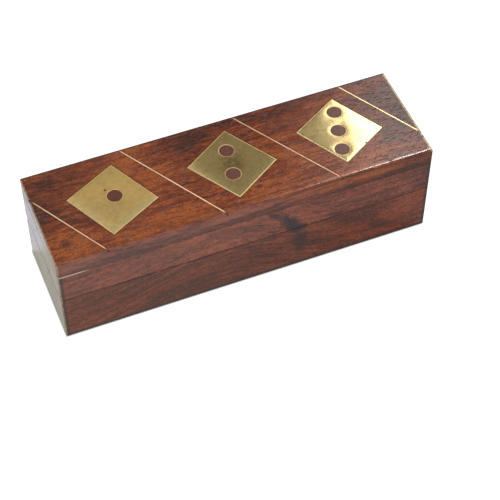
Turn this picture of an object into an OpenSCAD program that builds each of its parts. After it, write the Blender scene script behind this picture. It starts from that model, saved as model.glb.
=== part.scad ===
// Dice box with a hinged lid.
// A hardwood box is glued up closed, then sawn through at half height into a tray and a lid. The two
// turn on a pair of brass butt hinges, whose knuckles lie in a V groove along the back. The lid's top
// board is inlaid with three nearly square brass plates, pipped one, two and three, and with four
// slanting brass strips.
// Millimetres. X runs along the box, +Y points to the hinged back and +Z up. The origin is at the
// centre of the base, where the box stands.

/* [Box] */
// Overall length
box_length = 178; // [168:1:230]
// Overall depth, front to back
box_depth = 53.4; // [50:0.2:80]
// Overall height with the lid shut
box_height = 51.4; // [46:0.2:80]
// Height of the saw cut between tray and lid
seam_height = 26.2; // [22:0.2:30]
// Gap that the saw cut leaves with the lid shut
seam_gap = 0.2; // [0.1:0.05:0.4]

/* [Boards] */
// Thickness of the front and back walls
wall_thickness = 9; // [8:0.5:12]
// Thickness of the two end walls
end_thickness = 9; // [8:0.5:14]
// Thickness of the lid's top board
top_thickness = 9; // [7:0.5:11]
// Thickness of the tray's base panel
base_thickness = 5; // [4:0.5:8]
// How far the base panel reaches into the walls
rabbet_width = 4; // [2:0.5:6]
// Gap round the base panel in its rabbet
panel_gap = 0.1; // [0.05:0.05:0.3]
// Radius of the four upright corners
corner_radius = 1; // [0.4:0.1:1.6]
// Radius along the top board's upper edges
top_edge_radius = 1; // [0.4:0.1:1.6]
// Bevel along the edges of the base
base_bevel = 0.3; // [0.2:0.1:1]
// Bevel along the outer edges of the saw cut
seam_bevel = 0.25; // [0.1:0.05:0.5]
// Bevel along the glue line under the top board
joint_bevel = 0.2; // [0.1:0.05:0.4]

/* [Inlay] */
// Width of each brass plate, along its turn
plate_width = [28, 27.8, 27.2]; // [24:0.2:29]
// Length of each brass plate, across its turn
plate_length = [29.2, 29.4, 29]; // [24:0.2:30]
// Thickness of the brass plates
plate_thickness = 1.5; // [1:0.1:2.5]
// Worn bevel round the face of a plate and round its pips
plate_bevel = 0.2; // [0.1:0.05:0.4]
// Distance from an end of the box to the place of the plate next to it
plate_end_distance = 34.4; // [32:0.2:38]
// How far each plate was set off its place, along the box
plate_nudge_x = [0, 1.8, 0.1]; // [-2.5:0.1:2.5]
// How far each plate was set off its place, towards the back
plate_nudge_y = [0, -0.2, 0.5]; // [-2.5:0.1:2.5]
// How far each plate is turned
plate_turn = [27.1, 32, 29.9]; // [20:0.1:40]
// Diameter of the wooden pips
pip_diameter = 6.6; // [5:0.1:7.4]
// Length of the dowels that show as pips
pip_length = 4; // [3:0.5:5.5]
// Distance between the pips of plate one, two and three
pip_spacing = [0, 14.2, 11.5]; // [0:0.1:15]
// Slant of each plate's row of pips against the long edges
pip_row_turn = [72, 80.8, 75.2]; // [65:0.1:85]
// How far each plate's pips are off its centre, along the box
pip_nudge_x = [1.5, -0.7, -0.7]; // [-2:0.1:2]
// How far each plate's pips are off its centre, towards the back
pip_nudge_y = [1.4, 1.1, 0]; // [-2:0.1:2]
// Slant of each brass strip against the long edges
strip_slant = [59.5, 58.8, 58.4, 59.8]; // [56:0.1:64]
// Width of the brass strips
strip_width = 0.7; // [0.6:0.05:1.4]
// Depth of the brass strips in the board
strip_depth = 1.2; // [1:0.1:3]
// How far each strip was set off its place, along the box
strip_nudge = [0.6, 0.3, 0.6, -1.7]; // [-2:0.1:2]
// How far a strip stops short of the board's edge
strip_end_gap = 0.5; // [0.3:0.1:1.1]
// Gap between brass and wood all round
inlay_gap = 0.1; // [0.05:0.05:0.2]

/* [Hinges] */
// Distance from an end of the box to the middle of the hinge next to it
hinge_end_distance = 34; // [28:1:44]
// Length of each hinge along its pin
hinge_length = 20; // [16:0.5:26]
// Angle through which the lid opens
opening_angle = 95; // [88:1:100]
// Further angle at which the two faces of the groove would meet
stop_margin = 1; // [0.5:0.5:3]
// Distance from the back of the box to the pins
pin_inset = 2.8; // [2.2:0.1:3.4]
// Outside diameter of the knuckles
knuckle_diameter = 3.2; // [2.8:0.1:3.6]
// Number of knuckles on each hinge
knuckle_count = 5; // [3:2:7]
// Gap between neighbouring knuckles
knuckle_gap = 0.15; // [0.1:0.05:0.3]
// Space cut away round the knuckles
knuckle_clearance = 0.25; // [0.2:0.05:0.4]
// Diameter of the hinge pins
pin_diameter = 1.4; // [1.2:0.1:1.6]
// Radial clearance of a pin in its knuckles
pin_clearance = 0.05; // [0.02:0.01:0.08]
// Thickness of the hinge leaves
leaf_thickness = 0.8; // [0.6:0.05:1]
// Width of a leaf, from the pin's axis to its free edge
leaf_width = 5.2; // [4.8:0.1:5.2]
// Gap round a leaf in its recess
leaf_gap = 0.1; // [0.05:0.05:0.2]

/* [Hinge nails] */
// Distance between the two nails of a leaf
nail_spacing = 12; // [9:0.5:13]
// Distance from the pin's axis to the row of nails
nail_offset = 3.5; // [3.2:0.1:3.8]
// Diameter of a nail's shank
nail_diameter = 1.1; // [0.9:0.1:1.4]
// Diameter of a nail's countersunk head
nail_head_diameter = 2.1; // [1.8:0.1:2.4]
// Length of a nail from its head to its tip
nail_length = 8; // [5:0.5:10]
// Clearance of a nail in its leaf and in the wood
nail_clearance = 0.03; // [0.02:0.01:0.05]

/* [Hidden] */
$fn = 64;

wood_side = "#6b3a2a";
wood_end = "#7a4a38";
wood_top = "#8a4526";
wood_base = "#5e3324";
wood_pip = "#54302a";
brass = "#b59f57";
brass_hinge = "#c2a24c";

// Planes that the boards share.
back_face = box_depth / 2;
tray_top = seam_height - seam_gap / 2;
lid_bottom = seam_height + seam_gap / 2;
board_bottom = box_height - top_thickness;
inner_length = box_length - 2 * end_thickness;
inner_depth = box_depth - 2 * wall_thickness;

// The middle plate's place is halfway between the outer two. The strips' places are halfway between the
// plates' and as far again beyond them.
plate_pitch = box_length / 2 - plate_end_distance;
hinge_place = box_length / 2 - hinge_end_distance;

// The pins lie in the plane of the seam. Both faces of the V groove run through the pins' axis, so they
// meet when the lid has turned through the angle between them, and the wood stops it there.
axis_y = back_face - pin_inset;
groove_angle = (opening_angle + stop_margin) / 2;
knuckle_radius = knuckle_diameter / 2;
knuckle_pitch = (hinge_length + knuckle_gap) / knuckle_count;

// Lengths that only have to run past the box, so that a cut goes right through.
past = 1;
through = 2 * (box_length + box_depth + box_height);

// A rectangle with round corners, centred.
module rounded_rectangle(length, depth, radius) {
    square([length - 2 * radius, depth], center = true);
    square([length, depth - 2 * radius], center = true);
    for (sx = [-1, 1], sy = [-1, 1])
        translate([sx * (length / 2 - radius), sy * (depth / 2 - radius)]) circle(radius);
}

// The outline of a board on edge, centred on X, with its upper corners rounded and its lower ones
// bevelled.
module crowned_outline(width, height, radius, bevel) {
    polygon([
        [-width / 2 + bevel, 0], [width / 2 - bevel, 0],
        [width / 2, bevel], [width / 2, height - radius],
        [width / 2 - radius, height - radius], [width / 2 - radius, height],
        [-width / 2 + radius, height], [-width / 2 + radius, height - radius],
        [-width / 2, height - radius], [-width / 2, bevel]
    ]);
    for (side = [-1, 1])
        translate([side * (width / 2 - radius), height - radius]) circle(radius);
}

// The outline of a slab on edge, centred on X, with bevels of its own at top and bottom.
module bevelled_outline(width, low, high, low_bevel, high_bevel) {
    polygon([
        [-width / 2 + low_bevel, low], [width / 2 - low_bevel, low],
        [width / 2, low + low_bevel], [width / 2, high - high_bevel],
        [width / 2 - high_bevel, high], [-width / 2 + high_bevel, high],
        [-width / 2, high - high_bevel], [-width / 2, low + low_bevel]
    ]);
}

// A block as long and deep as the box, from one height to another, with its outer edges bevelled.
module outer_block(low, high, low_bevel, high_bevel) {
    intersection() {
        translate([0, 0, low])
            linear_extrude(high - low) rounded_rectangle(box_length, box_depth, corner_radius);
        rotate([90, 0, 0])
            linear_extrude(box_depth, center = true)
                bevelled_outline(box_length, low, high, low_bevel, high_bevel);
        rotate([90, 0, 90])
            linear_extrude(box_length, center = true)
                bevelled_outline(box_depth, low, high, low_bevel, high_bevel);
    }
}

// The space inside the four walls.
module inside() {
    translate([-inner_length / 2, -inner_depth / 2, -past])
        cube([inner_length, inner_depth, box_height + 2 * past]);
}

// The four walls of the tray before they are parted at the mitres, with the rabbet for the base panel.
module tray_walls() {
    difference() {
        outer_block(0, tray_top, base_bevel, seam_bevel);
        inside();
        translate([-inner_length / 2 - rabbet_width, -inner_depth / 2 - rabbet_width, -past])
            cube([inner_length + 2 * rabbet_width, inner_depth + 2 * rabbet_width, base_thickness + past]);
    }
}

// The four walls of the lid before they are parted at the mitres.
module lid_walls() {
    difference() {
        outer_block(lid_bottom, board_bottom, seam_bevel, joint_bevel);
        inside();
    }
}

// What a front or back wall keeps of the four walls: the mitres run from outer to inner corner.
module wall_share(side) {
    linear_extrude(box_height)
        polygon([
            [-box_length / 2, side * box_depth / 2], [box_length / 2, side * box_depth / 2],
            [inner_length / 2, side * inner_depth / 2], [-inner_length / 2, side * inner_depth / 2]
        ]);
}

// What a left or right end wall keeps of the four walls.
module end_share(side) {
    linear_extrude(box_height)
        polygon([
            [side * box_length / 2, -box_depth / 2], [side * box_length / 2, box_depth / 2],
            [side * inner_length / 2, inner_depth / 2], [side * inner_length / 2, -inner_depth / 2]
        ]);
}

// Moves to the middle of a hinge's pin. X runs along the pin.
module at_pin(side) {
    translate([side * hinge_place, axis_y, seam_height]) children();
}

// Mirrors what was drawn for the tray in the plane of the seam, so that it serves the lid.
module for_lid() {
    translate([0, 0, 2 * seam_height]) mirror([0, 0, 1]) children();
}

// The tray's half of the V groove: all that is planed off above a slope down from the pins' axis.
module tray_groove() {
    translate([0, axis_y, seam_height])
        rotate([-groove_angle, 0, 0])
            translate([-through / 2, -knuckle_diameter, 0])
                cube([through, through, box_height]);
}

// A cylinder along X, centred.
module rod_x(radius, length) {
    rotate([0, 90, 0]) cylinder(r = radius, h = length, center = true);
}

// What the tray's back wall loses to a hinge: a trough round the knuckles, a recess that lets the leaf
// in flush with the rim, and the holes for its nails.
module tray_hinge_cuts(side) {
    at_pin(side) {
        rod_x(knuckle_radius + knuckle_clearance, hinge_length + 2 * leaf_gap);
        translate([-hinge_length / 2 - leaf_gap, -leaf_width - leaf_gap, -seam_gap / 2 - leaf_thickness])
            cube([hinge_length + 2 * leaf_gap, leaf_width + leaf_gap, leaf_thickness + seam_gap]);
        nails(nail_clearance);
    }
}

module tray_front_wall() {
    color(wood_side)
        intersection() {
            tray_walls();
            wall_share(-1);
        }
}

module tray_back_wall() {
    color(wood_side)
        difference() {
            intersection() {
                tray_walls();
                wall_share(1);
            }
            tray_groove();
            for (side = [-1, 1]) tray_hinge_cuts(side);
        }
}

// The groove runs out through the end walls' mitred corners too.
module tray_end(side) {
    color(wood_end)
        difference() {
            intersection() {
                tray_walls();
                end_share(side);
            }
            tray_groove();
        }
}

module tray_base_panel() {
    panel_length = inner_length + 2 * (rabbet_width - panel_gap);
    panel_depth = inner_depth + 2 * (rabbet_width - panel_gap);
    color(wood_base)
        translate([-panel_length / 2, -panel_depth / 2, 0])
            cube([panel_length, panel_depth, base_thickness]);
}

module lid_front_wall() {
    color(wood_side)
        intersection() {
            lid_walls();
            wall_share(-1);
        }
}

module lid_back_wall() {
    color(wood_side)
        difference() {
            intersection() {
                lid_walls();
                wall_share(1);
            }
            for_lid() {
                tray_groove();
                for (side = [-1, 1]) tray_hinge_cuts(side);
            }
        }
}

module lid_end(side) {
    color(wood_end)
        difference() {
            intersection() {
                lid_walls();
                end_share(side);
            }
            for_lid() tray_groove();
        }
}

// The top board before the inlay is cut in: round corners in plan, round upper edges and bevelled lower
// ones.
module top_blank() {
    intersection() {
        translate([0, 0, board_bottom])
            linear_extrude(top_thickness) rounded_rectangle(box_length, box_depth, corner_radius);
        translate([0, box_depth / 2, board_bottom])
            rotate([90, 0, 0])
                linear_extrude(box_depth)
                    crowned_outline(box_length, top_thickness, top_edge_radius, joint_bevel);
        translate([-box_length / 2, 0, board_bottom])
            rotate([90, 0, 90])
                linear_extrude(box_length)
                    crowned_outline(box_depth, top_thickness, top_edge_radius, joint_bevel);
    }
}

// Moves to the middle of a plate's underside, with the plate's turn.
module at_plate(i) {
    translate([(i - 1) * plate_pitch + plate_nudge_x[i], plate_nudge_y[i], box_height - plate_thickness])
        rotate(plate_turn[i]) children();
}

// Moves to the foot of each of a plate's pips in turn.
module at_pips(i) {
    translate([
        (i - 1) * plate_pitch + plate_nudge_x[i] + pip_nudge_x[i],
        plate_nudge_y[i] + pip_nudge_y[i],
        box_height - pip_length
    ])
        rotate(pip_row_turn[i])
            for (k = [0 : i]) translate([(k - i / 2) * pip_spacing[i], 0, 0]) children();
}

// A dowel, or with a margin the bore that it stands in, which then runs out above it.
module pip_space(margin, rise) {
    cylinder(d = pip_diameter + 2 * margin, h = pip_length + rise);
}

// A strip's way right across the board, grown sideways by a margin and upwards by a rise.
module strip_space(k, margin, rise) {
    translate([(k - 1.5) * plate_pitch + strip_nudge[k], 0, box_height - strip_depth])
        rotate(-strip_slant[k])
            translate([-through / 2, -strip_width / 2 - margin, 0])
                cube([through, strip_width + 2 * margin, strip_depth + rise]);
}

module lid_top_board() {
    color(wood_top)
        difference() {
            top_blank();
            for (i = [0 : 2]) {
                at_plate(i)
                    linear_extrude(plate_thickness + past)
                        square([plate_width[i] + 2 * inlay_gap, plate_length[i] + 2 * inlay_gap], center = true);
                at_pips(i) pip_space(inlay_gap, past);
            }
            for (k = [0 : 3]) strip_space(k, inlay_gap, past);
        }
}

// A plate has a bevel round its face, and another round each hole for a pip.
module brass_plate(i) {
    color(brass)
        difference() {
            at_plate(i)
                intersection() {
                    rotate([90, 0, 0])
                        linear_extrude(plate_length[i], center = true)
                            bevelled_outline(plate_width[i], 0, plate_thickness, 0, plate_bevel);
                    rotate([90, 0, 90])
                        linear_extrude(plate_width[i], center = true)
                            bevelled_outline(plate_length[i], 0, plate_thickness, 0, plate_bevel);
                }
            at_pips(i) {
                pip_space(inlay_gap, past);
                translate([0, 0, pip_length - plate_bevel])
                    cylinder(
                        r1 = pip_diameter / 2 + inlay_gap,
                        r2 = pip_diameter / 2 + inlay_gap + 2 * plate_bevel,
                        h = 2 * plate_bevel
                    );
            }
        }
}

module pip_dowels(i) {
    color(wood_pip) at_pips(i) pip_space(0, 0);
}

// The saw kerf for a strip runs out over the board's edges. The strip itself is sanded round with them
// and stops just short of the outside.
module brass_strip(k) {
    color(brass)
        intersection() {
            strip_space(k, 0, 0);
            top_blank();
            translate([-box_length / 2 + strip_end_gap, -box_depth / 2 + strip_end_gap, board_bottom])
                cube([box_length - 2 * strip_end_gap, box_depth - 2 * strip_end_gap, top_thickness]);
        }
}

// The knuckles that one leaf carries: the tray's leaf has the outer ones, and the lid's has those
// between them. Each is a ring round the pin, drawn here as a full rod of the given radius.
module knuckles(first, radius, gap) {
    for (k = [first : 2 : knuckle_count - 1])
        translate([(k - (knuckle_count - 1) / 2) * knuckle_pitch, 0, 0])
            rod_x(radius, knuckle_pitch - gap);
}

// The tray's leaf lies flush with the tray's rim, on the front side of the pin, and carries its own
// knuckles. It is cut back round the other leaf's knuckles and bored for the pin.
module hinge_leaf(own, other) {
    color(brass_hinge)
        difference() {
            union() {
                translate([-hinge_length / 2, -leaf_width, -seam_gap / 2 - leaf_thickness])
                    cube([hinge_length, leaf_width, leaf_thickness]);
                knuckles(own, knuckle_radius, knuckle_gap);
            }
            knuckles(other, knuckle_radius + knuckle_gap, -knuckle_gap);
            rod_x(pin_diameter / 2 + pin_clearance, hinge_length + 2 * past);
            nails(nail_clearance);
        }
}

// Two countersunk nails, flush with the leaf. Their holes are wider, but end at the nails' tips.
module nails(margin) {
    shank = nail_diameter / 2 + margin;
    head = nail_head_diameter / 2 + margin;
    for (side = [-1, 1])
        translate([side * nail_spacing / 2, -nail_offset, -seam_gap / 2]) {
            translate([0, 0, shank - head]) cylinder(r1 = shank, r2 = head, h = head - shank);
            translate([0, 0, -nail_length]) cylinder(r = shank, h = nail_length);
        }
}

module tray_leaf(side) at_pin(side) hinge_leaf(0, 1);
module lid_leaf(side) for_lid() at_pin(side) hinge_leaf(1, 0);
module hinge_pin(side) color(brass_hinge) at_pin(side) rod_x(pin_diameter / 2, hinge_length);
module tray_nails(side) color(brass_hinge) at_pin(side) nails(0);
module lid_nails(side) for_lid() tray_nails(side);

tray_front_wall();
tray_back_wall();
tray_end(-1);  // tray_left_end
tray_end(1);  // tray_right_end
tray_base_panel();
lid_front_wall();
lid_back_wall();
lid_end(-1);  // lid_left_end
lid_end(1);  // lid_right_end
lid_top_board();
brass_plate(0);  // brass_plate_one
brass_plate(1);  // brass_plate_two
brass_plate(2);  // brass_plate_three
pip_dowels(0);  // pip_dowel_one
pip_dowels(1);  // pip_dowels_two
pip_dowels(2);  // pip_dowels_three
brass_strip(0);  // brass_strip_far_left
brass_strip(1);  // brass_strip_left
brass_strip(2);  // brass_strip_right
brass_strip(3);  // brass_strip_far_right
tray_leaf(-1);  // hinge_left_tray_leaf
lid_leaf(-1);  // hinge_left_lid_leaf
hinge_pin(-1);  // hinge_left_pin
tray_nails(-1);  // hinge_left_tray_nails
lid_nails(-1);  // hinge_left_lid_nails
tray_leaf(1);  // hinge_right_tray_leaf
lid_leaf(1);  // hinge_right_lid_leaf
hinge_pin(1);  // hinge_right_pin
tray_nails(1);  // hinge_right_tray_nails
lid_nails(1);  // hinge_right_lid_nails
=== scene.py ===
"""Looks of the dice box with a hinged lid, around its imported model, in metres and in the model's frame."""
from math import cos, pi, radians, sin

import bpy
from mathutils import Matrix, Vector

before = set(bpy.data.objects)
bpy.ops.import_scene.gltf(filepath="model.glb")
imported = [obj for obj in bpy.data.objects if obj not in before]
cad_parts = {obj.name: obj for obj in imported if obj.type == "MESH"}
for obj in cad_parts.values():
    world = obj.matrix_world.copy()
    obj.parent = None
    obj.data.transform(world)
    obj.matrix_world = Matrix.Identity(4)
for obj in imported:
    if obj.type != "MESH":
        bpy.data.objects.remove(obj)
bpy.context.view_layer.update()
MM = 0.001

# The camera: where it stands, the way it looks and what lies to its right.
EYE = Vector((-0.16351, -0.42834, 0.56572))
LOOK = Vector((0.23456, 0.57688, -0.78243)).normalized()
RIGHT = Vector((0.92735, -0.37419, 0.00212)).normalized()
LENS_MM, SENSOR_MM = 110.79, 36.0
NEAREST_SEEN, FARTHEST_SEEN = 0.01, 20.0

# Sizes of the box that the materials follow, in millimetres.
BOX_LENGTH, BOX_DEPTH, BOX_HEIGHT = 178.0, 53.4, 51.4
HALF_LENGTH, HALF_DEPTH = BOX_LENGTH / 2, BOX_DEPTH / 2
HALF_BOX = (HALF_LENGTH, HALF_DEPTH, BOX_HEIGHT / 2)
BOX_MIDDLE = (0.0, 0.0, BOX_HEIGHT / 2)
WALL = 9.0
SEAM_HEIGHT = 26.2
BOARD_BOTTOM = 42.4
PIP_RADIUS = 3.3
STRIP_HALF_WIDTH = 0.35


def make_camera():
    """A camera that looks along LOOK from EYE, with RIGHT to its right."""
    up = RIGHT.cross(LOOK)
    data = bpy.data.cameras.new("photo_camera")
    data.lens = LENS_MM
    data.sensor_width = SENSOR_MM
    data.clip_start = NEAREST_SEEN
    data.clip_end = FARTHEST_SEEN
    camera = bpy.data.objects.new("photo_camera", data)
    turn = Matrix((RIGHT, up, -LOOK)).transposed()
    camera.matrix_world = Matrix.Translation(EYE) @ turn.to_4x4()
    bpy.context.scene.collection.objects.link(camera)
    bpy.context.scene.camera = camera


make_camera()


def srgb(red, green, blue):
    """A colour given as it looks on a screen, from 0 to 255, in the linear values that shaders take."""
    def linear(value):
        value /= 255
        return value / 12.92 if value <= 0.04045 else ((value + 0.055) / 1.055) ** 2.4
    return (linear(red), linear(green), linear(blue), 1.0)


class Graph:
    """Adds nodes to one node tree and joins them up, so that a pattern reads as a list of steps."""

    def __init__(self, tree):
        self.tree = tree

    def put(self, socket, value):
        """Joins a socket to an output, or gives it a fixed value."""
        if isinstance(value, bpy.types.NodeSocket):
            self.tree.links.new(value, socket)
        elif value is not None:
            socket.default_value = value

    def node(self, kind, *inputs, **settings):
        """A node of a kind, with its settings and its first inputs."""
        made = self.tree.nodes.new(kind)
        for name, value in settings.items():
            setattr(made, name, value)
        for socket, value in zip(made.inputs, inputs):
            self.put(socket, value)
        return made

    def math(self, operation, a, b=None, c=None):
        return self.node("ShaderNodeMath", a, b, c, operation=operation).outputs[0]

    def product(self, first, *others):
        """The product of two or more numbers."""
        for other in others:
            first = self.math("MULTIPLY", first, other)
        return first

    def plus(self, base, value, weight):
        """The base, plus the value times its weight."""
        return self.math("MULTIPLY_ADD", value, weight, base)

    def vector(self, operation, a, b=None):
        made = self.node("ShaderNodeVectorMath", a, b, operation=operation)
        return made.outputs["Value" if operation in ("LENGTH", "DISTANCE", "DOT_PRODUCT") else "Vector"]

    def split(self, vector):
        return self.node("ShaderNodeSeparateXYZ", vector).outputs

    def join(self, x, y, z):
        return self.node("ShaderNodeCombineXYZ", x, y, z).outputs[0]

    def noise(self, vector, pace, detail, roughness=0.5, colour=False):
        """Soft noise. Its pace is how many times it changes in a millimetre, one number or one per axis."""
        if isinstance(pace, tuple):
            vector = self.vector("MULTIPLY", vector, pace)
            pace = 1.0
        made = self.node("ShaderNodeTexNoise", noise_dimensions="3D")
        for name, value in (("Vector", vector), ("Scale", pace), ("Detail", detail),
                            ("Roughness", roughness)):
            self.put(made.inputs[name], value)
        return made.outputs["Color" if colour else "Fac"]

    def lines(self, value):
        """Noise along a single number, for the rings of the wood."""
        made = self.node("ShaderNodeTexNoise", noise_dimensions="1D")
        for name, given in (("W", value), ("Scale", 1.0), ("Detail", 3.0), ("Roughness", 0.6)):
            self.put(made.inputs[name], given)
        return made.outputs["Fac"]

    def ease(self, value, low, high, at_low=0.0, at_high=1.0):
        """Goes smoothly from one value to another between two limits, and stays level outside them. A tuple
        that is unpacked into it holds the limits, the values, or the limits and then the values."""
        made = self.node("ShaderNodeMapRange", value, low, high, at_low, at_high,
                         interpolation_type="SMOOTHSTEP", clamp=True)
        return made.outputs[0]

    def blend(self, factor, a, b, mode="MIX"):
        """Mixes two colours."""
        made = self.node("ShaderNodeMix", data_type="RGBA", blend_type=mode, clamp_factor=True)
        for name, value in (("Factor_Float", factor), ("A_Color", a), ("B_Color", b)):
            socket = next(s for s in made.inputs if s.identifier == name)
            self.put(socket, value)
        return next(s for s in made.outputs if s.identifier == "Result_Color")

    def over(self, colour, coat, mask, strength):
        """Lays a coat over a colour where the mask says, no more than its strength."""
        return self.blend(self.product(mask, strength), colour, coat)

    def place(self, vector, location, turn=0.0, scale=(1, 1, 1), axis="Z"):
        """Moves a pattern to a place, turns it in radians about Z or Y, and gives it its scale."""
        made = self.node("ShaderNodeMapping", vector, vector_type="TEXTURE")
        made.inputs["Location"].default_value = location
        made.inputs["Rotation"].default_value = (0, turn, 0) if axis == "Y" else (0, 0, turn)
        made.inputs["Scale"].default_value = scale
        return made.outputs[0]

    def group(self, tree, **inputs):
        """Places a node group and gives its inputs by name, with underscores for spaces."""
        made = self.node("ShaderNodeGroup", node_tree=tree)
        for name, value in inputs.items():
            self.put(made.inputs[name.replace("_", " ")], value)
        return made.outputs


def new_group(name, inputs, outputs):
    """An empty node group with named sockets. Returns the tree, its graph, its inputs and its outputs."""
    kinds = {"vector": "NodeSocketVector", "colour": "NodeSocketColor", "value": "NodeSocketFloat"}
    tree = bpy.data.node_groups.new(name, "ShaderNodeTree")
    for in_out, sockets in (("INPUT", inputs), ("OUTPUT", outputs)):
        for socket, kind in sockets:
            tree.interface.new_socket(socket, in_out=in_out, socket_type=kinds[kind])
    graph = Graph(tree)
    return tree, graph, graph.node("NodeGroupInput").outputs, graph.node("NodeGroupOutput").inputs


# How many times each layer of the wood changes in a millimetre, along the grain and across it. A single
# number holds for every direction.
SLOW_BENDS, QUICK_BENDS = (0.012, 0.045, 0.045), (0.06, 0.16, 0.16)
MOTTLE, STREAKS, FUZZ = (0.028, 0.075, 0.075), (0.05, 0.60, 0.60), (0.26, 0.95, 0.95)
FIBRES, PORE_DASHES = (1.1, 1.7, 1.7), (0.30, 1.9, 1.9)
RUBBED_PATCHES = (0.05, 0.12, 0.12)
CHIPS, RAGGED_OUTLINE, DOWEL_DOTS = 0.8, 0.2, 2.6

# On the top board: how far below its face the wood is polished, where its dark eye lies, and between which
# places along the box the rounding of its front edge grows wider and flatter.
POLISH_DEPTH = 3.0
EYE_MIDDLE, EYE_TURN, EYE_HALF = (8.0, -17.3, BOX_HEIGHT), 0.2, (1.9, 1.3, 9.0)
ROLL_GROWS = (30.0, 75.0)

# Colours in the wood.
KNOT_CORE = srgb(70, 32, 26)
OPEN_PORE = srgb(40, 18, 14)
# The next colour darkens real stains and the knot's eye, and is also laid as painted shade along the seam,
# the foot and the top board's edges.
STAIN_AND_SHADE = srgb(38, 24, 30)
# The next colour is a dark joint round the inlays, with painted shade of their gaps.
INLAY_GAP_SHADE = srgb(44, 22, 14)
WORN_EDGE = srgb(205, 180, 142)
WORN_JOINT = srgb(214, 190, 176)
# A painted purple sheen for the top board's front side, standing in for the reflection that the front faces
# show.
PALE_PAINTED_SHEEN, DARK_PAINTED_SHEEN = srgb(126, 78, 72), srgb(78, 44, 46)

# How many times each layer of the brass changes in a millimetre, along the sanding and across it.
SHEET_CLOUDS, SHEET_SPOTS, SHEET_SPECKS, SHEET_RIPPLE = 0.09, 0.5, 1.7, 0.12
SHEET_SANDING = (0.25, 9.0, 1.0)
STRIP_CLOUDS, STRIP_SANDING = (0.12, 0.5, 0.5), (0.3, 6.0, 6.0)

# Colours in the brass.
OLIVE, UMBER = srgb(208, 182, 122), srgb(132, 104, 66)
LOW_BAND = srgb(198, 180, 116)
# A painted highlight for the plates' left and low rims.
RIM_HIGHLIGHT = srgb(255, 232, 176)
DARK_SPECK = srgb(70, 48, 26)
PIP_RIM = srgb(232, 190, 160)
STRIP_EDGE_DARK = srgb(84, 50, 30)


def build_grain():
    """Rosewood grain that runs along X. Rings round a pith line wander, rise in an arch and bulge round a
    knot. Mottling, streaks, fuzz, fibres and short open pores follow the same bends. Figure says how plainly
    the rings show. Tone darkens or, below zero, pales the wood."""
    tree, g, given, out = new_group(
        "rosewood_grain",
        [("Place", "vector"), ("Pith", "vector"), ("Knot", "vector"), ("Knot Size", "value"),
         ("Arch", "vector"), ("Wander", "value"), ("Ring Width", "value"), ("Figure", "value"),
         ("Tone", "value"), ("Pale", "colour"), ("Red", "colour"), ("Dark", "colour")],
        [("Color", "colour"), ("Pores", "value"), ("Height", "value"), ("Tone", "value")])
    middle, middles = 0.5, (0.5, 0.5, 0.5)
    across_grain, gently_across = (0, 1, 1), (0, 0.3, 0.3)
    knot_shape, bulge_fall, bulge_push, bulge_show, bulge_pale = (0.75, 1.0, 0.75), -0.05, 3.0, 0.7, -0.18
    layers = ((MOTTLE, 0.6, 0.75), (STREAKS, 0.6, 0.8), (FUZZ, 0.62, 0.75))
    pale_to_red, red_to_dark = (0.30, 0.56), (0.50, 0.82)
    halo_outside, halo_inside, knot_edge = (1.5, 1.05), (0.6, 0.95), (1.05, 0.5)
    fibre_limits, fibre_shades, pore_limits = (0.28, 0.72), (0.58, 1.42), (0.61, 0.68)
    halo_strength, knot_strength, pore_strength, fibre_height = 0.5, 0.9, 0.35, 0.4

    place = given["Place"]
    slow = g.vector("SUBTRACT", g.noise(place, SLOW_BENDS, 1, colour=True), middles)
    quick = g.vector("SUBTRACT", g.noise(place, QUICK_BENDS, 2, colour=True), middles)
    slow = g.vector("MULTIPLY", slow, across_grain)
    quick = g.vector("MULTIPLY", quick, gently_across)
    wander = given["Wander"]
    drift = g.vector("MULTIPLY", g.vector("ADD", slow, quick), g.join(wander, wander, wander))
    x, _, _ = g.split(place)
    arch_middle, arch_width, arch_rise = g.split(given["Arch"])
    off_arch = g.math("DIVIDE", g.math("SUBTRACT", x, arch_middle), arch_width)
    arch = g.product(g.math("EXPONENT", g.product(g.math("POWER", off_arch, 2.0), -1.0)), arch_rise)
    bent = g.vector("SUBTRACT", g.vector("ADD", place, drift), g.join(0.0, 0.0, arch))

    from_knot = g.vector("MULTIPLY", g.vector("SUBTRACT", place, given["Knot"]), knot_shape)
    knot_far = g.math("DIVIDE", g.vector("LENGTH", from_knot), given["Knot Size"])
    bulge = g.math("EXPONENT", g.product(g.math("POWER", knot_far, 2.0), bulge_fall))
    pushed = g.product(bulge, given["Knot Size"], bulge_push)
    from_pith = g.vector("MULTIPLY", g.vector("SUBTRACT", bent, given["Pith"]), across_grain)
    rings = g.math("DIVIDE", g.math("ADD", pushed, g.vector("LENGTH", from_pith)), given["Ring Width"])

    show = g.math("ADD", given["Figure"], g.product(bulge, bulge_show))
    tone = g.plus(g.math("ADD", given["Tone"], middle), g.math("SUBTRACT", g.lines(rings), middle), show)
    for pace, roughness, weight in layers:
        tone = g.plus(tone, g.math("SUBTRACT", g.noise(bent, pace, 3, roughness), middle), weight)
    tone = g.plus(tone, bulge, bulge_pale)
    colour = g.blend(g.ease(tone, *pale_to_red), given["Pale"], given["Red"])
    colour = g.blend(g.ease(tone, *red_to_dark), colour, given["Dark"])
    halo = g.product(g.ease(knot_far, *halo_outside), g.ease(knot_far, *halo_inside))
    colour = g.over(colour, given["Dark"], halo, halo_strength)
    colour = g.over(colour, KNOT_CORE, g.ease(knot_far, *knot_edge), knot_strength)
    fibres = g.noise(bent, FIBRES, 2, 0.6)
    shade = g.ease(fibres, *fibre_limits, *fibre_shades)
    colour = g.blend(1.0, colour, g.join(shade, shade, shade), "MULTIPLY")
    pores = g.ease(g.noise(bent, PORE_DASHES, 1, 0.4), *pore_limits)
    colour = g.over(colour, OPEN_PORE, pores, pore_strength)
    g.put(out["Color"], colour)
    g.put(out["Pores"], pores)
    g.put(out["Height"], g.math("SUBTRACT", g.product(fibres, fibre_height), pores))
    g.put(out["Tone"], tone)
    return tree


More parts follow.
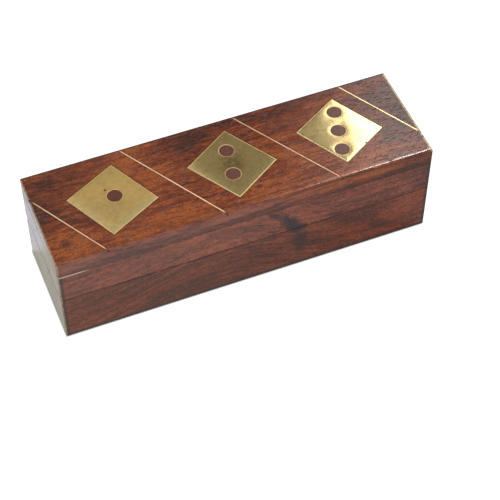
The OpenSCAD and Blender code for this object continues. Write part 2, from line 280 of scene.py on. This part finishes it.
def build_edge_wear():
    """Where the box's outer edges are rubbed: near two of its outer faces at once. Edge is all of that. Wear
    is the part that is rubbed pale: it is chipped by noise and keeps to the two ends."""
    tree, g, given, out = new_group("edge_wear", [("Place", "vector"), ("Width", "value")],
                                    [("Wear", "value"), ("Edge", "value")])
    near_limits, end_chips, right_chips = (1.0, 0.1), (0.38, 0.54), (0.36, 0.48)
    right_limits = (HALF_LENGTH - 1.4, HALF_LENGTH - 0.9)
    place = given["Place"]
    outward = g.vector("ABSOLUTE", g.vector("SUBTRACT", place, BOX_MIDDLE))
    inward = g.vector("SUBTRACT", HALF_BOX, outward)
    x, _, _ = g.split(place)
    near_end, near_side, near_top = [g.ease(g.math("DIVIDE", depth, given["Width"]), *near_limits)
                                     for depth in g.split(inward)]
    upright = g.product(near_end, near_side)
    lengthwise = g.product(near_side, near_top)
    crosswise = g.product(near_end, near_top)
    left_corners = g.product(upright, g.math("LESS_THAN", x, 0.0))
    edge = g.math("MAXIMUM", g.math("MAXIMUM", upright, lengthwise), crosswise)
    rough = g.noise(place, CHIPS, 3, 0.7)
    chipped = g.product(g.math("MAXIMUM", left_corners, crosswise), g.ease(rough, *end_chips))
    chipped_right = g.product(g.ease(x, *right_limits), near_top, g.ease(rough, *right_chips))
    g.put(out["Wear"], g.math("MAXIMUM", chipped, chipped_right))
    g.put(out["Edge"], edge)
    return tree


def build_brass():
    """Inlaid sheet brass in its own plane. Its colour is tarnish in clouds and spots, with a green band at
    its low edge, a painted highlight on its left and low rims where their bevels catch the light, a coppery
    ring round each pip, a brown smudge in the middle and one dark speck. Its face dips towards the rim and
    round each pip, bears a soft ripple and fine sanding lines, and is hollow from front to back by its Bow."""
    tree, g, given, out = new_group(
        "inlaid_brass",
        [("Place", "vector"), ("Half", "vector"), ("Pip A", "vector"), ("Pip B", "vector"),
         ("Pip C", "vector"), ("Pip Radius", "value"), ("Bright", "colour"), ("Green", "colour"),
         ("Brown", "colour"), ("Smudge", "value"), ("Band", "value"), ("Dish", "value"), ("Bow", "value"),
         ("Speck", "vector")],
        [("Color", "colour"), ("Roughness", "value"), ("Height", "value")])
    tarnish_limits, tarnish_shares = (0.36, 0.68), (0.15, 0.65)
    rubbed_edge, low_edge, low_end, highlight_edge = (4.0, 0.6), (-10.0, -12.6), (12.0, 4.0), (4.5, 0.8)
    rubbed_spots, low_spots, smudge_spots = (0.35, 0.6, 0.4, 1.0), (0.25, 0.5, 0.6, 1.0), (0.3, 0.6, 0.3, 1.0)
    brown_spots, brown_specks = (0.4, 0.7, 0.0, 0.16), (0.74, 0.80, 0.0, 0.5)
    sanding_wear, cloud_wear = (0.3, 0.8, 0.0, 0.04), (0.3, 0.7, 0.0, 0.03)
    rubbed_strength, pip_rim_strength, rim_left, rim_low = 0.25, 0.5, 13.5, 14.2
    speck_edge, smudge_edge, pip_rim_edge, bevel_edge = (0.8, 0.25), (9.0, 1.0), (0.5, 0.3), (0.5, 0.25)
    dip_fall, rim_fall, rim_depth, ripple_depth, sanding_depth = -0.9, -0.8, -0.03, 0.03, 0.0012
    polish_roughness, bevel_roughness, bow_along_u, bow_along_v = 0.08, 0.55, 0.5, 0.87

    place = given["Place"]
    flat = g.vector("MULTIPLY", place, (1, 1, 0))
    gaps = [g.math("SUBTRACT", g.vector("DISTANCE", flat, given[pip]), given["Pip Radius"])
            for pip in ("Pip A", "Pip B", "Pip C")]
    to_pip = g.math("MINIMUM", g.math("MINIMUM", gaps[0], gaps[1]), gaps[2])
    u, v, _ = g.split(flat)
    inset_u, inset_v, _ = g.split(g.vector("SUBTRACT", given["Half"], g.vector("ABSOLUTE", flat)))
    to_rim = g.math("MINIMUM", inset_u, inset_v)
    to_highlit_rims = g.math("MINIMUM", g.math("ADD", u, rim_left), g.math("ADD", v, rim_low))
    clouds = g.noise(place, SHEET_CLOUDS, 3, 0.55)
    spots = g.noise(place, SHEET_SPOTS, 3, 0.6)
    specks = g.noise(place, SHEET_SPECKS, 1)
    sanding = g.noise(place, SHEET_SANDING, 2, 0.6)

    tarnish = g.ease(clouds, *tarnish_limits, *tarnish_shares)
    colour = g.blend(tarnish, given["Bright"], given["Green"])
    rubbed = g.product(g.ease(to_rim, *rubbed_edge), g.ease(spots, *rubbed_spots))
    colour = g.over(colour, given["Green"], rubbed, rubbed_strength)
    low = g.product(g.ease(v, *low_edge), g.ease(u, *low_end, 0.3, 1.0), g.ease(spots, *low_spots))
    colour = g.over(colour, LOW_BAND, low, given["Band"])
    # Painted highlight along the left and low rims, where their bevels catch the light.
    polished = g.ease(to_highlit_rims, *highlight_edge, 0.0, 0.45)
    colour = g.blend(polished, colour, RIM_HIGHLIGHT)
    spotted = g.ease(spots, *brown_spots)
    colour = g.blend(spotted, colour, given["Brown"])
    dark_speck = g.ease(g.vector("DISTANCE", flat, given["Speck"]), *speck_edge)
    colour = g.blend(dark_speck, colour, DARK_SPECK)
    smudged = g.product(g.ease(g.vector("LENGTH", flat), *smudge_edge), g.ease(spots, *smudge_spots))
    colour = g.over(colour, given["Brown"], smudged, given["Smudge"])
    specked = g.ease(specks, *brown_specks)
    colour = g.blend(specked, colour, given["Brown"])
    pip_rim = g.ease(to_pip, *pip_rim_edge)
    colour = g.over(colour, PIP_RIM, pip_rim, pip_rim_strength)
    g.put(out["Color"], colour)

    wear = g.math("ADD", g.ease(sanding, *sanding_wear), g.ease(clouds, *cloud_wear))
    bevel = g.math("MAXIMUM", pip_rim, g.ease(to_rim, *bevel_edge))
    g.put(out["Roughness"], g.plus(g.math("ADD", wear, polish_roughness), bevel, bevel_roughness))

    dip = g.product(g.math("EXPONENT", g.product(to_pip, dip_fall)), given["Dish"], -1.0)
    fall = g.product(g.math("EXPONENT", g.product(to_rim, rim_fall)), rim_depth)
    height = g.plus(g.math("ADD", dip, fall), g.noise(place, SHEET_RIPPLE, 1), ripple_depth)
    front_to_back = g.plus(g.product(u, bow_along_u), v, bow_along_v)
    height = g.plus(height, g.math("POWER", front_to_back, 2.0), given["Bow"])
    g.put(out["Height"], g.plus(height, sanding, sanding_depth))
    return tree


GRAIN = build_grain()
EDGE_WEAR = build_edge_wear()
BRASS = build_brass()

# The plates. Lengths are in millimetres in the plane of the lid, and turn is in degrees. Smudge is how brown
# the middle is, band how green the low edge, dish how deep the face dips round a pip, speck where the dark
# speck lies, and bow how hollow the face is.
PLATES = {
    "one": dict(middle=(-54.6, 0.0), size=(28.0, 29.2), turn=27.1, pips=[(-53.1, 1.4)],
                bright=srgb(245, 204, 130), smudge=0.1, band=0.75, dish=0.008, speck=(-56.1, 5.9)),
    "two": dict(middle=(1.8, -0.2), size=(27.8, 29.4), turn=32.0, pips=[(2.2, 7.9), (0.0, -6.1)],
                bright=srgb(236, 206, 150), smudge=0.6, band=0.3, dish=0.008, speck=(20.6, 0.5)),
    "three": dict(middle=(54.7, 0.5), size=(27.2, 29.0), turn=29.9,
                  pips=[(56.9, 11.6), (54.0, 0.5), (51.1, -10.6)],
                  bright=srgb(243, 218, 162), smudge=0.15, band=0.2, dish=0.03, speck=(62.7, -10.9),
                  bow=0.0008),
}
# The strips: where the middle lies along the box, the slant in degrees, two colours and the roughness.
STRIPS = {
    "far_left": (-81.3, 59.5, srgb(254, 212, 172), srgb(240, 194, 152), 0.42),
    "left": (-27.0, 58.8, srgb(250, 206, 168), srgb(234, 186, 148), 0.42),
    "right": (27.9, 58.4, srgb(210, 168, 136), srgb(190, 150, 118), 0.42),
    "far_right": (80.2, 59.8, srgb(238, 218, 168), srgb(218, 192, 134), 0.3),
}


def to_mm(g, where):
    """Object coordinates, turned from metres into millimetres."""
    made = g.node("ShaderNodeVectorMath", where, operation="SCALE")
    made.inputs["Scale"].default_value = 1 / MM
    return made.outputs["Vector"]


def new_material(name):
    """A new material. Returns it with its graph and its Object coordinates in millimetres."""
    material = bpy.data.materials.new(name)
    material.use_nodes = True
    material.node_tree.nodes.clear()
    g = Graph(material.node_tree)
    return material, g, to_mm(g, g.node("ShaderNodeTexCoord").outputs["Object"])


def finish_material(g, colour, roughness, height, step=1.0, metallic=0.0):
    """Ends a material: a shader with a colour, a roughness and a bump. Step is how many millimetres a height
    of 1 stands for."""
    shader = g.node("ShaderNodeBsdfPrincipled")
    shader.inputs["Metallic"].default_value = metallic
    bump = g.node("ShaderNodeBump")
    bump.inputs["Strength"].default_value = 1.0
    bump.inputs["Distance"].default_value = step * MM
    g.put(bump.inputs["Height"], height)
    g.put(shader.inputs["Base Color"], colour)
    g.put(shader.inputs["Roughness"], roughness)
    g.put(shader.inputs["Normal"], bump.outputs["Normal"])
    g.put(g.node("ShaderNodeOutputMaterial").inputs["Surface"], shader.outputs["BSDF"])


def beside_inlays(g, where):
    """How near the wood of the lid's top face is to a plate or a strip: 1 right beside it."""
    far_off, gap_shade_edge, gap_shade_depth = 99.0, (0.55, 0.1), 0.6
    nearest = far_off
    for plate in PLATES.values():
        half = (plate["size"][0] / 2, plate["size"][1] / 2, 0)
        local = g.vector("ABSOLUTE", g.place(where, (*plate["middle"], 0), radians(plate["turn"])))
        u, v, _ = g.split(g.vector("SUBTRACT", local, half))
        nearest = g.math("MINIMUM", nearest, g.math("MAXIMUM", g.math("MAXIMUM", u, v), 0.0))
    for middle_x, slant, *_ in STRIPS.values():
        _, v, _ = g.split(g.vector("ABSOLUTE", g.place(where, (middle_x, 0, 0), -radians(slant))))
        off_strip = g.math("SUBTRACT", v, STRIP_HALF_WIDTH)
        nearest = g.math("MINIMUM", nearest, g.math("MAXIMUM", off_strip, 0.0))
    _, _, z = g.split(where)
    return g.product(g.ease(nearest, *gap_shade_edge), g.math("GREATER_THAN", z, BOX_HEIGHT - gap_shade_depth))


def mark_front_and_back(g, where, colour, stains):
    """Marks of the walls along the front and the back: dark stains with ragged outlines, darker corners, and
    painted shade in a line along the seam that grows stronger towards the right."""
    stain_edge, corner_edge, seam_shade_edge, face_edge = (1.15, 0.35), (2.4, 1.4), (0.5, 0.2), (0.3, 0.1)
    raggedness, corner_strength, seam_shade_strengths = 1.5, 0.75, (-60.0, 20.0, 0.35, 0.65)
    x, y, z = g.split(where)
    ragged = g.plus(-raggedness / 2, g.noise(where, RAGGED_OUTLINE, 4, 0.65), raggedness)
    for (middle_x, middle_z), (half_x, half_z), turn, strength in stains:
        middle, half = (middle_x, -HALF_DEPTH, middle_z), (half_x, STAIN_DEPTH, half_z)
        spread = g.vector("LENGTH", g.place(where, middle, turn, half, axis="Y"))
        spread = g.math("ADD", spread, ragged)
        colour = g.over(colour, STAIN_AND_SHADE, g.ease(spread, *stain_edge), strength)
    from_end = g.math("SUBTRACT", HALF_LENGTH, g.math("ABSOLUTE", x))
    colour = g.over(colour, STAIN_AND_SHADE, g.ease(from_end, *corner_edge), corner_strength)
    # Painted shade in a line along the seam, stronger towards the right.
    from_seam = g.math("ABSOLUTE", g.math("SUBTRACT", z, SEAM_HEIGHT))
    from_face = g.math("SUBTRACT", HALF_DEPTH, g.math("ABSOLUTE", y))
    seam_shade = g.product(g.ease(from_seam, *seam_shade_edge), g.ease(from_face, *face_edge))
    return g.over(colour, STAIN_AND_SHADE, seam_shade, g.ease(x, *seam_shade_strengths))


def mark_top_board(g, where, colour, tone, red):
    """Marks of the top board: dark joints round the inlays with painted shade of their gaps, a small dark eye
    with a red middle, and on its front side a painted purple sheen, with painted shade along the upper edge."""
    sheen_edge, shade_line_edge, shade_line_height = (1.3, 0.1), (0.3, 0.1), (1.8, 0.6)
    sheen_strengths, shade_line_strengths = (60.0, -10.0, 0.1, 0.5), (10.0, 50.0, 0.0, 0.6)
    eye_edge, eye_core = (1.1, 0.7), (0.5, 0.2)
    gap_shade_strength, eye_strength, core_strength = 0.6, 0.7, 0.8
    x, y, z = g.split(where)
    from_front = g.math("ADD", y, HALF_DEPTH)
    below_top = g.math("SUBTRACT", BOX_HEIGHT, z)
    # Dark joints round the inlays, with painted shade of their gaps.
    colour = g.over(colour, INLAY_GAP_SHADE, beside_inlays(g, where), gap_shade_strength)
    # A painted purple sheen on the front side, as the reflection that the front faces show.
    sheen_colour = g.blend(g.ease(tone, 0.3, 0.7), PALE_PAINTED_SHEEN, DARK_PAINTED_SHEEN)
    colour = g.over(colour, sheen_colour, g.ease(from_front, *sheen_edge), g.ease(x, *sheen_strengths))
    # Painted shade along the top of the front side, just below the edge's highlight.
    upper_shade_line = g.product(g.ease(from_front, *shade_line_edge), g.ease(below_top, *shade_line_height))
    colour = g.over(colour, STAIN_AND_SHADE, upper_shade_line, g.ease(x, *shade_line_strengths))
    eye = g.vector("LENGTH", g.place(where, EYE_MIDDLE, EYE_TURN, EYE_HALF))
    colour = g.over(colour, STAIN_AND_SHADE, g.ease(eye, *eye_edge), eye_strength)
    return g.over(colour, red, g.ease(eye, *eye_core), core_strength)


def rosewood(name, pale, red, dark, pith, along="X", knot=(0.0, 0.0, 900.0), knot_size=3.0, arch=(0, 40, 0),
             wander=7.0, ring=1.5, figure=0.3, offset=(0, 0, 0), patches=(), stains=(), inlays=False,
             worn_joint=False, foot=False, least_roughness=0.155, relief=0.05):
    """A polished rosewood. Along is the axis that the grain follows. Pith, knot, arch and offset are in
    millimetres, and the knot starts out of reach. Patches are soft areas of the wood, darker or paler, each
    with its middle, half size and strength. Stains and inlays mark the walls and the top board; inlays also
    bring painted shade along the top board's back edge. A worn joint is pale at the left, and a foot is
    darkened by dirt and painted contact shadow. Relief is how deep the grain is, in millimetres."""
    joint_edge, joint_reach, front_edge = (0.5, 0.1), (-72.0, -80.0), (0.7, 0.1)
    foot_edge, back_shade_edge, top_edge, ground = (3.0, 0.8), (1.7, 0.7), (1.2, 0.6), 0.03
    foot_strength, joint_strength, wear_strength, back_shade_strength = 0.9, 0.8, 0.8, 0.85
    roll_widths, roll_falls = (1.9, 2.6), (-0.08, -0.055)
    edge_width, edge_roughness, bare_roughness, rubbed_roughness = 0.85, 0.45, 0.4, (0.3, 0.7, 0.0, 0.06)
    material, g, where = new_material(name)
    x, y, z = g.split(where)
    turned = g.join(y, x, z) if along == "Y" else where
    turned = g.vector("ADD", turned, offset)
    zone = 0.0
    for middle, half, strength in patches:
        spread = g.vector("LENGTH", g.place(where, middle, scale=half))
        zone = g.plus(zone, g.ease(spread, 1.0, 0.0), strength)
    grain = g.group(GRAIN, Place=turned, Pith=pith, Knot=knot, Knot_Size=knot_size, Arch=arch,
                    Wander=wander, Ring_Width=ring, Figure=figure, Tone=zone, Pale=pale, Red=red,
                    Dark=dark)
    worn = g.group(EDGE_WEAR, Place=where, Width=edge_width)
    colour = grain["Color"]
    if stains:
        colour = mark_front_and_back(g, where, colour, stains)
    if inlays:
        colour = mark_top_board(g, where, colour, grain["Tone"], red)
    if foot:
        # Dirt and painted contact shadow darken the wood near the floor.
        foot_dirt_and_shade = g.product(g.ease(z, *foot_edge), g.math("GREATER_THAN", z, ground))
        colour = g.over(colour, STAIN_AND_SHADE, foot_dirt_and_shade, foot_strength)
    from_front = g.math("ADD", y, HALF_DEPTH)
    if worn_joint:
        off_joint = g.math("ABSOLUTE", g.math("SUBTRACT", z, BOARD_BOTTOM))
        pale_joint = g.product(g.ease(off_joint, *joint_edge), g.ease(x, *joint_reach),
                               g.ease(from_front, *front_edge))
        colour = g.over(colour, WORN_JOINT, pale_joint, joint_strength)
    colour = g.over(colour, WORN_EDGE, worn["Wear"], wear_strength)
    from_end = g.math("SUBTRACT", HALF_LENGTH, g.math("ABSOLUTE", x))
    from_side = g.math("SUBTRACT", HALF_DEPTH, g.math("ABSOLUTE", y))
    inside = WALL - 0.5
    bare = g.product(g.math("GREATER_THAN", from_end, inside), g.math("GREATER_THAN", from_side, inside))
    height = g.product(grain["Height"], relief)
    if inlays:
        from_back = g.math("SUBTRACT", HALF_DEPTH, y)
        below_top = g.math("SUBTRACT", BOX_HEIGHT, z)
        # Painted shade along the top board's back edge.
        back_edge_shade = g.product(g.ease(from_back, *back_shade_edge), g.ease(below_top, *top_edge))
        colour = g.over(colour, STAIN_AND_SHADE, back_edge_shade, back_shade_strength)
        bare = g.product(bare, g.math("GREATER_THAN", below_top, POLISH_DEPTH))
        roll_width = g.ease(x, *ROLL_GROWS, *roll_widths)
        roll_fall = g.ease(x, *ROLL_GROWS, *roll_falls)
        into_roll = g.math("MAXIMUM", g.math("SUBTRACT", roll_width, from_front), 0.0)
        height = g.plus(height, g.math("POWER", into_roll, 2.0), roll_fall)
    rubbed = g.ease(g.noise(where, RUBBED_PATCHES, 3), *rubbed_roughness)
    roughness = g.math("ADD", rubbed, least_roughness)
    for mask, weight in ((worn["Edge"], edge_roughness), (grain["Pores"], relief * 10),
                         (bare, bare_roughness)):
        roughness = g.plus(roughness, mask, weight)
    finish_material(g, colour, roughness, height)
    return material


def plate_brass(name, middle, size, turn, pips, bright, smudge, band, dish, speck, bow=0.0):
    """The brass of one plate of PLATES, with its pips and its speck carried into the plate's own plane."""
    material, g, where = new_material(name)
    local = g.place(where, (*middle, 0.0), radians(turn))
    turned = Matrix.Rotation(-radians(turn), 2)

    def in_plate(point):
        return (*(turned @ (Vector(point) - Vector(middle))), 0.0)

    out_of_reach = (900.0, 900.0, 0.0)
    pip_a, pip_b, pip_c = ([in_plate(pip) for pip in pips] + [out_of_reach] * 2)[:3]
    sheet = g.group(BRASS, Place=local, Half=(size[0] / 2, size[1] / 2, 0), Pip_A=pip_a, Pip_B=pip_b,
                    Pip_C=pip_c, Pip_Radius=PIP_RADIUS, Bright=bright, Green=OLIVE, Brown=UMBER,
                    Smudge=smudge, Band=band, Dish=dish, Bow=bow, Speck=in_plate(speck))
    finish_material(g, sheet["Color"], sheet["Roughness"], sheet["Height"], metallic=1.0)
    return material


def plain_brass(name, bright, green, roughness, middle_x=0.0, turn=0.0, half_width=None):
    """Brass of a strip or a hinge: sanding lines along its length, with tarnish in clouds. A half width, in
    millimetres, gives a strip darker edges and ends."""
    end_edge, edge_start, edge_end, edge_dark_strength, scratched = (1.8, 1.2), 0.15, 0.07, 0.8, 0.16
    material, g, where = new_material(name)
    local = g.place(where, (middle_x, 0, 0), turn)
    clouds = g.noise(local, STRIP_CLOUDS, 3, 0.6)
    sanding = g.noise(local, STRIP_SANDING, 2)
    colour = g.blend(g.ease(clouds, 0.35, 0.7), bright, green)
    if half_width:
        _, v, _ = g.split(g.vector("ABSOLUTE", local))
        from_end, from_side, _ = g.split(g.vector("SUBTRACT", HALF_BOX, g.vector("ABSOLUTE", where)))
        dull_ends = g.math("MAXIMUM", g.ease(from_side, *end_edge), g.ease(from_end, *end_edge))
        dull_edges = g.ease(v, half_width - edge_start, half_width - edge_end)
        dull = g.math("MAXIMUM", dull_ends, dull_edges)
        colour = g.over(colour, STRIP_EDGE_DARK, dull, edge_dark_strength)
    finish_material(g, colour, g.plus(roughness, sanding, scratched), sanding, step=0.004, metallic=1.0)
    return material


def pip_wood(name):
    """The end of a dark dowel: pores as dots, and rings round a point well outside it."""
    material, g, where = new_material(name)
    pale, dark, open_pore, filled_pore = (srgb(100, 46, 24), srgb(66, 30, 14), srgb(34, 18, 18),
                                          srgb(150, 118, 98))
    along_dowel, ring_middle, rings_per_mm = (1, 1, 0.05), (-40.0, 36.0, 0.0), 1.3
    flat = g.vector("MULTIPLY", where, along_dowel)
    dots = g.noise(flat, DOWEL_DOTS, 2, 0.6)
    rings = g.lines(g.product(g.vector("DISTANCE", flat, ring_middle), rings_per_mm))
    colour = g.blend(g.ease(rings, 0.3, 0.7), pale, dark)
    colour = g.blend(g.ease(dots, 0.42, 0.32, 0.0, 0.6), colour, open_pore)
    colour = g.blend(g.ease(dots, 0.62, 0.70, 0.0, 0.5), colour, filled_pore)
    roughness = g.ease(dots, 0.35, 0.6, 0.45, 0.2)
    finish_material(g, colour, roughness, dots, step=0.05)
    return material


def dress(node, material):
    """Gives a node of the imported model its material."""
    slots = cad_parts[node].data.materials
    slots.clear()
    slots.append(material)


# The dark stains in the plane of the front: middle and half size in millimetres along X and Z, turn in
# radians and strength. STAIN_DEPTH is how far they reach into the box.
STAIN_DEPTH = 30.0
FRONT_STAINS = [((11.5, 39.5), (5.0, 2.2), 0.75, 0.8),
                ((20.0, 30.5), (9.5, 5.0), 0.95, 0.95),
                ((24.5, 16.0), (4.2, 10.5), 0.05, 0.7),
                ((23.5, 25.5), (4.5, 3.5), 0.6, 0.8),
                ((7.5, 24.2), (7.0, 1.6), 0.1, 0.6),
                ((53.0, 20.5), (15.0, 7.0), 0.3, 0.5),
                ((41.5, 28.5), (6.0, 3.2), 0.1, 0.4),
                ((65.0, 11.0), (8.0, 4.5), 0.5, 0.4)]

# Soft patches: middle and half size in millimetres, and strength. THROUGH runs through the whole board.
THROUGH = 999
TRAY_PATCHES = [((70, -26, 14), (40, 60, 30), -0.10), ((-18, -26, 14), (45, 60, 30), 0.14)]
LID_PATCHES = [((-89, -26, 34), (28, 60, 30), 0.16), ((89, -26, 34), (45, 60, 30), 0.2)]
TOP_PATCHES = [((20, 32, 0), (110, 30, THROUGH), 0.22), ((95, 0, 0), (50, 60, THROUGH), 0.25),
               ((62, -27, 46.5), (42, 5, 6), -0.12), ((-60, -24, 0), (60, 16, THROUGH), -0.14),
               ((10, -24, 0), (50, 16, THROUGH), -0.06), ((-86, 4, 0), (26, 34, THROUGH), 0.14),
               ((26, 26, 0), (40, 16, THROUGH), -0.12), ((-42, 18, 0), (28, 14, THROUGH), -0.18),
               ((-10, 22, 0), (16, 12, THROUGH), 0.18), ((0, -28, 42), (600, 4, 7.5), 0.4)]

TRAY_WOOD = dict(pale=srgb(122, 56, 32), red=srgb(94, 39, 21), dark=srgb(62, 28, 19))
LID_WOOD = dict(pale=srgb(138, 71, 50), red=srgb(113, 56, 41), dark=srgb(76, 39, 33))
TOP_WOOD = dict(pale=srgb(141, 71, 25), red=srgb(107, 43, 14), dark=srgb(58, 22, 9))
# The lid's end wood is a little bluer and the tray's a little yellower: a painted tint of the bluish and
# yellow-green reflections that they show.
TRAY_END_WOOD = dict(pale=srgb(104, 62, 38), red=srgb(84, 48, 30), dark=srgb(56, 31, 22))
LID_END_WOOD = dict(pale=srgb(106, 63, 45), red=srgb(86, 49, 37), dark=srgb(58, 33, 27))
SIDES = dict(pith=(0, 30, -20), arch=(-15, 38, 16), figure=0.45, stains=FRONT_STAINS)
ENDS = dict(along="Y", offset=(40, 0, 0), pith=(0, -60, 10), least_roughness=0.12, relief=0.008)

tray_side = rosewood("tray_side_wood", foot=True, patches=TRAY_PATCHES, **SIDES, **TRAY_WOOD)
lid_side = rosewood("lid_side_wood", worn_joint=True, patches=LID_PATCHES, **SIDES, **LID_WOOD)
tray_end = rosewood("tray_end_wood", foot=True, **ENDS, **TRAY_END_WOOD)
lid_end = rosewood("lid_end_wood", **ENDS, **LID_END_WOOD)
base_wood = rosewood("base_panel_wood", pith=(0, -70, -12), offset=(-60, 9, 0), least_roughness=0.55,
                     **TRAY_WOOD)
top_wood = rosewood("top_board_wood", pith=(0, -52, 12), knot=(-81.4, -16.9, BOX_HEIGHT), knot_size=1.75,
                    wander=9.0, ring=1.3, figure=0.12, patches=TOP_PATCHES, inlays=True, worn_joint=True,
                    **TOP_WOOD)

for wall in ("front_wall", "back_wall"):
    dress("tray_" + wall, tray_side)
    dress("lid_" + wall, lid_side)
for end in ("left_end", "right_end"):
    dress("tray_" + end, tray_end)
    dress("lid_" + end, lid_end)
dress("tray_base_panel", base_wood)
dress("lid_top_board", top_wood)
for count, plate in PLATES.items():
    dress("brass_plate_" + count, plate_brass("plate_brass_" + count, **plate))

dowel_wood = pip_wood("pip_dowel_wood")
for node in ("pip_dowel_one", "pip_dowels_two", "pip_dowels_three"):
    dress(node, dowel_wood)

for side, (middle_x, slant, *looks) in STRIPS.items():
    dress("brass_strip_" + side, plain_brass(side + "_strip_brass", *looks, middle_x=middle_x,
                                             turn=-radians(slant), half_width=STRIP_HALF_WIDTH))

hinge_brass = plain_brass("hinge_brass", bright=srgb(232, 198, 118), green=srgb(196, 160, 92), roughness=0.2)
for side in ("left", "right"):
    for part in ("tray_leaf", "lid_leaf", "pin", "tray_nails", "lid_nails"):
        dress("hinge_%s_%s" % (side, part), hinge_brass)

# The lamps. Azimuth runs from the back towards the right, and azimuth, elevation and roll are in degrees.
# Distance, width and height are in metres.
LAMP_AIM = Vector((0, 0, 0.03))
LAMPS = {
    "window_lamp": dict(azimuth=57.1, elevation=50, distance=1.0, width=0.52, height=0.60, radiance=3.3,
                        roll=-32),
    "edge_lamp": dict(azimuth=60.0, elevation=59, distance=1.08, width=0.23, height=0.15, radiance=30.0,
                      colour=(1.0, 1.0, 0.96)),
    "back_lamp": dict(azimuth=-1, elevation=50, distance=1.0, width=0.42, height=0.40, radiance=0.27),
    "front_lamp": dict(azimuth=205, elevation=48, distance=1.2, width=0.9, height=0.7, radiance=2.6),
}


def soft_lamp(name, azimuth, elevation, distance, width, height, radiance, roll=0.0, colour=(1, 1, 1)):
    """A rectangular lamp that faces the box and is turned in its own plane by its roll. A lamp's power is its
    radiance times pi times its area."""
    a, e = radians(azimuth), radians(elevation)
    place = LAMP_AIM + distance * Vector((sin(a) * cos(e), cos(a) * cos(e), sin(e)))
    data = bpy.data.lights.new(name, "AREA")
    data.shape = "RECTANGLE"
    data.size = width
    data.size_y = height
    data.energy = radiance * pi * width * height
    data.color = colour
    lamp = bpy.data.objects.new(name, data)
    facing = (LAMP_AIM - place).to_track_quat("-Z", "Y").to_matrix() @ Matrix.Rotation(-radians(roll), 3, "Z")
    lamp.matrix_world = Matrix.Translation(place) @ facing.to_4x4()
    bpy.context.scene.collection.objects.link(lamp)


def white_table():
    """Paint that takes light and shadow, mixed with plain white. To the eye most of it is plain white, but
    less of it right beside the box. In reflections it carries painted shade: the white is dimmer towards the
    right, and yellow-green in front, where the box's shadow falls, but bluish behind the box."""
    plain, grey_paint = (1, 1, 1, 1), srgb(232, 232, 232)
    shadow_tint_in_front, tint_behind, tint_limits = (0.92, 0.94, 0.81, 1), (0.99, 1.02, 1.15, 1), (25.5, 28.5)
    share_across, share_at_left, seen_share = (-60.0, 60.0, 0.36, 0.5), (-88.0, -98.0, 0.0, 0.16), 0.88
    beside_box, round_box = (0.0, 0.5, 0.1, 0.98), (0.0, 5.0, 0.98, 1.0)
    brightest, shade_dimmed_across = 1.2, (-60.0, 80.0, 0.0, 0.95)
    material, g, place = new_material("white_table")
    rays = g.node("ShaderNodeLightPath").outputs
    mirrored = g.math("MAXIMUM", rays["Is Glossy Ray"], rays["Is Transmission Ray"])
    x, y, _ = g.split(place)
    mirrored_share = g.math("ADD", g.ease(x, *share_across), g.ease(x, *share_at_left))
    beyond = g.vector("SUBTRACT", g.vector("ABSOLUTE", place), (HALF_LENGTH, HALF_DEPTH, 0))
    away = g.vector("LENGTH", g.vector("MAXIMUM", beyond, (0, 0, 0)))
    lit = g.product(g.ease(away, *beside_box), g.ease(away, *round_box))
    share = g.plus(g.product(mirrored, mirrored_share), g.product(rays["Is Camera Ray"], lit), seen_share)
    # Painted shade in reflections: yellow-green in front of the box, where its shadow falls.
    tint = g.blend(g.ease(y, *tint_limits), shadow_tint_in_front, tint_behind)
    tint = g.blend(rays["Is Camera Ray"], tint, plain)
    # Painted shade in reflections: dimmer towards the right.
    strength = g.math("SUBTRACT", brightest, g.product(mirrored, g.ease(x, *shade_dimmed_across)))
    paint = g.node("ShaderNodeBsdfDiffuse", grey_paint).outputs[0]
    white = g.node("ShaderNodeEmission", tint, strength).outputs[0]
    both = g.node("ShaderNodeMixShader", share, paint, white).outputs[0]
    g.put(g.node("ShaderNodeOutputMaterial").inputs["Surface"], both)
    return material


def make_floor():
    """A flat floor that reaches far beyond the box on every side."""
    reach = 4.0
    corners = [(-reach, -reach, 0), (reach, -reach, 0), (reach, reach, 0), (-reach, reach, 0)]
    mesh = bpy.data.meshes.new("floor")
    mesh.from_pydata(corners, [], [(0, 1, 2, 3)])
    mesh.materials.append(white_table())
    floor = bpy.data.objects.new("floor", mesh)
    bpy.context.scene.collection.objects.link(floor)


def light_world():
    """A pale room: white towards the horizon, but dimmer behind the box, and grey overhead."""
    in_front, behind, overhead = (1, 1, 1, 1), (0.4, 0.4, 0.4, 1), (0.272, 0.265, 0.226, 1)
    back_limits, height_limits = (-0.1, 0.5), (0.42, 0.66)
    world = bpy.data.worlds.new("room")
    bpy.context.scene.world = world
    world.use_nodes = True
    world.node_tree.nodes.clear()
    g = Graph(world.node_tree)
    _, back, height = g.split(g.node("ShaderNodeTexCoord").outputs["Generated"])
    low = g.blend(g.ease(back, *back_limits), in_front, behind)
    colour = g.blend(g.ease(height, *height_limits), low, overhead)
    glow = g.node("ShaderNodeBackground", colour, 1.0).outputs[0]
    g.put(g.node("ShaderNodeOutputWorld").inputs["Surface"], glow)


bpy.context.scene.view_settings.view_transform = "Standard"
make_floor()
light_world()
for name, lamp in LAMPS.items():
    soft_lamp(name, **lamp)
